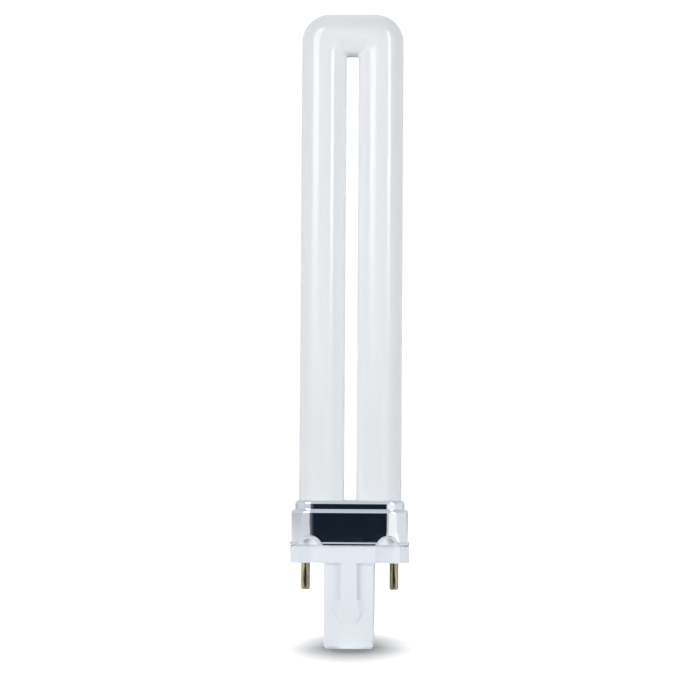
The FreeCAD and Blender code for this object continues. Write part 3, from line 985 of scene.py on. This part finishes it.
class BULB_OT_stage(Operator):
    """Sets the floor, the light round the bulb and the camera"""

    bl_idname = "bulb.stage"
    bl_label = "Stage"

    def execute(self, context):
        stage = context.scene.bulb_stage
        context.scene.view_settings.view_transform = "Standard"
        self.room(context.scene, stage)
        self.floor(stage)
        self.reflections(stage)
        self.lights(stage)
        self.camera(context.scene, stage)
        return {"FINISHED"}

    def reflections(self, stage):
        """Panels that show only in gloss: two softboxes, low cards, a dark card and two dark mats."""
        foot = ("Y", -0.5, stage.softbox_fade - 0.5, BLACK)
        upright_panel("softbox_left", glow("softbox_left", WHITE, stage.softbox_left, foot))
        upright_panel("softbox_right", glow("softbox_right", WHITE, stage.softbox_right, foot))
        for name in ("card_left", "card_right", "card_side"):
            upright_panel(name, glow(name, tuple(getattr(stage, name)), 1))
        edge = ("X", -0.5, DARK_EDGE_END, tuple(stage.dark_edge))
        upright_panel("dark_card", glow("dark_card", tuple(stage.dark), 1, edge))
        mat = glow("dark_mat", tuple(stage.dark), 1)
        for name, place in MAT_PLACES.items():
            light_panel(name, place, (0, 0, 0), MAT_SIZE, mat, diffuse=False)

    def lights(self, stage):
        """Panels that light matt surfaces only, so that they leave no mark on the gloss."""
        for name in ("key", "fill"):
            upright_panel(name, glow(name, WHITE, getattr(stage, name)), diffuse=True, glossy=False)
        ceiling = glow("ceiling", WHITE, stage.ceiling)
        light_panel("ceiling", CEILING_PLACE, (CEILING_TILT, 0, 0), CEILING_SIZE, ceiling, glossy=False)

    def room(self, scene, stage):
        """White to the camera, and a soft grey room for light and reflections."""
        world = bpy.data.worlds.new("room")
        scene.world = world
        tree = emptied_tree(world)
        rise = spread(tree, place_along(tree, "Z", "Generated"), *ROOM_RISE, 0, 1)
        colour = blend_colours(tree, rise, tuple(stage.surround), tuple(stage.overhead))
        ray = new_node(tree, "ShaderNodeLightPath").outputs
        share = spread(tree, ray["Is Glossy Ray"], 0, 1, stage.shade, 1)
        room = new_node(tree, "ShaderNodeBackground", Color=colour, Strength=share)
        white = new_node(tree, "ShaderNodeBackground", Color=WHITE, Strength=BACKDROP)
        mix = new_node(tree, "ShaderNodeMixShader", Fac=ray["Is Camera Ray"])
        tree.links.new(room.outputs["Background"], mix.inputs[1])
        tree.links.new(white.outputs["Background"], mix.inputs[2])
        new_node(tree, "ShaderNodeOutputWorld", Surface=mix.outputs["Shader"])

    def floor(self, stage):
        """A pale floor, white to the camera away from the bulb, so that only the near shadow shows."""
        bpy.ops.mesh.primitive_plane_add(size=FLOOR_SIZE, location=(0, 0, 0))
        floor = named("floor")
        material = bpy.data.materials.new("floor")
        self.paint_floor(emptied_tree(material), stage)
        floor.data.materials.append(material)

    def paint_floor(self, tree, stage):
        """Adds the floor's own light to what it reflects."""
        ray = new_node(tree, "ShaderNodeLightPath").outputs
        colour = spread(tree, ray["Is Camera Ray"], 0, 1, stage.floor_light, stage.floor_seen)
        shade = new_node(tree, "ShaderNodeBsdfDiffuse", Color=colour)
        light = new_node(tree, "ShaderNodeEmission", Strength=self.floor_strength(tree, ray, stage))
        add = new_node(tree, "ShaderNodeAddShader")
        tree.links.new(shade.outputs["BSDF"], add.inputs[0])
        tree.links.new(light.outputs["Emission"], add.inputs[1])
        new_node(tree, "ShaderNodeOutputMaterial", Surface=add.outputs["Shader"])

    def floor_strength(self, tree, ray, stage):
        """White far off to the camera and in gloss, and painted light for matt surfaces near the post,
        where the floor glows in place of bounce.
        """
        place = new_node(tree, "ShaderNodeTexCoord").outputs["Object"]
        scale, shift = (1, stage.shadow_squeeze, 1), (-stage.shadow_shift, 0, 0)
        squeeze = new_node(tree, "ShaderNodeMapping", Vector=place, Scale=scale, Location=shift)
        reach = new_node(tree, "ShaderNodeVectorMath")
        reach.operation = "LENGTH"
        tree.links.new(squeeze.outputs["Vector"], reach.inputs[0])
        aside = reach.outputs["Value"]
        white = spread(tree, aside, stage.shadow_core, stage.shadow_reach, 0, 1)
        # Painted light: the floor near the post's foot glows for matt rays, in place of bounced light.
        near = spread(tree, aside, stage.painted_bounce_start, stage.painted_bounce_end, stage.painted_bounce, 0)
        camera, gloss, matt = ray["Is Camera Ray"], ray["Is Glossy Ray"], ray["Is Diffuse Ray"]
        share = calculate(tree, "MULTIPLY_ADD", gloss, stage.floor_gloss, camera)
        lift = calculate(tree, "MULTIPLY", white, share)
        return calculate(tree, "MULTIPLY_ADD", matt, near, lift)

    def camera(self, scene, stage):
        """The camera at the photo's angle."""
        azimuth, pitch = stage.azimuth, stage.pitch
        level = math.cos(pitch)
        forward = Vector((-math.sin(azimuth) * level, math.cos(azimuth) * level, math.sin(pitch)))
        place = Vector((0, 0, stage.aim)) - forward * stage.distance
        bpy.ops.object.camera_add(location=place)
        camera = bpy.context.object
        camera.name = "camera"
        turn = forward.to_track_quat("-Z", "Y").to_matrix().to_4x4()
        camera.matrix_world = Matrix.Translation(place) @ turn @ Matrix.Rotation(stage.roll, 4, "Z")
        camera.data.lens = stage.lens
        camera.data.sensor_width = SENSOR_WIDTH
        camera.data.shift_x = stage.shift
        camera.data.clip_end = SIGHT
        scene.camera = camera


class BULB_PT_panel(Panel):
    """Buttons that build the bulb, piece by piece, and its stage"""

    bl_idname = "BULB_PT_panel"
    bl_label = "Fluorescent Bulb"
    bl_space_type = "VIEW_3D"
    bl_region_type = "UI"
    bl_category = "Bulb"

    def draw(self, context):
        column = self.layout.column(align=True)
        for operator in OPERATORS:
            column.operator(operator.bl_idname)


SETTINGS = {
    "bulb_glass": BulbGlassSettings,
    "bulb_collar": BulbCollarSettings,
    "bulb_flutes": BulbFluteSettings,
    "bulb_base": BulbBaseSettings,
    "bulb_pins": BulbPinSettings,
    "bulb_stage": BulbStageSettings,
}
OPERATORS = (BULB_OT_glass, BULB_OT_collar, BULB_OT_base, BULB_OT_pins, BULB_OT_inner, BULB_OT_stage)


def register():
    for item in (*SETTINGS.values(), *OPERATORS, BULB_PT_panel):
        bpy.utils.register_class(item)
    for name, group in SETTINGS.items():
        setattr(bpy.types.Scene, name, PointerProperty(type=group))


def unregister():
    for name in SETTINGS:
        delattr(bpy.types.Scene, name)
    for item in reversed((*SETTINGS.values(), *OPERATORS, BULB_PT_panel)):
        bpy.utils.unregister_class(item)


def main():
    register()
    for step in (
        bpy.ops.bulb.glass,
        bpy.ops.bulb.collar,
        bpy.ops.bulb.base,
        bpy.ops.bulb.pins,
        bpy.ops.bulb.inner,
        bpy.ops.bulb.stage,
    ):
        step()


if __name__ == "__main__":
    main()
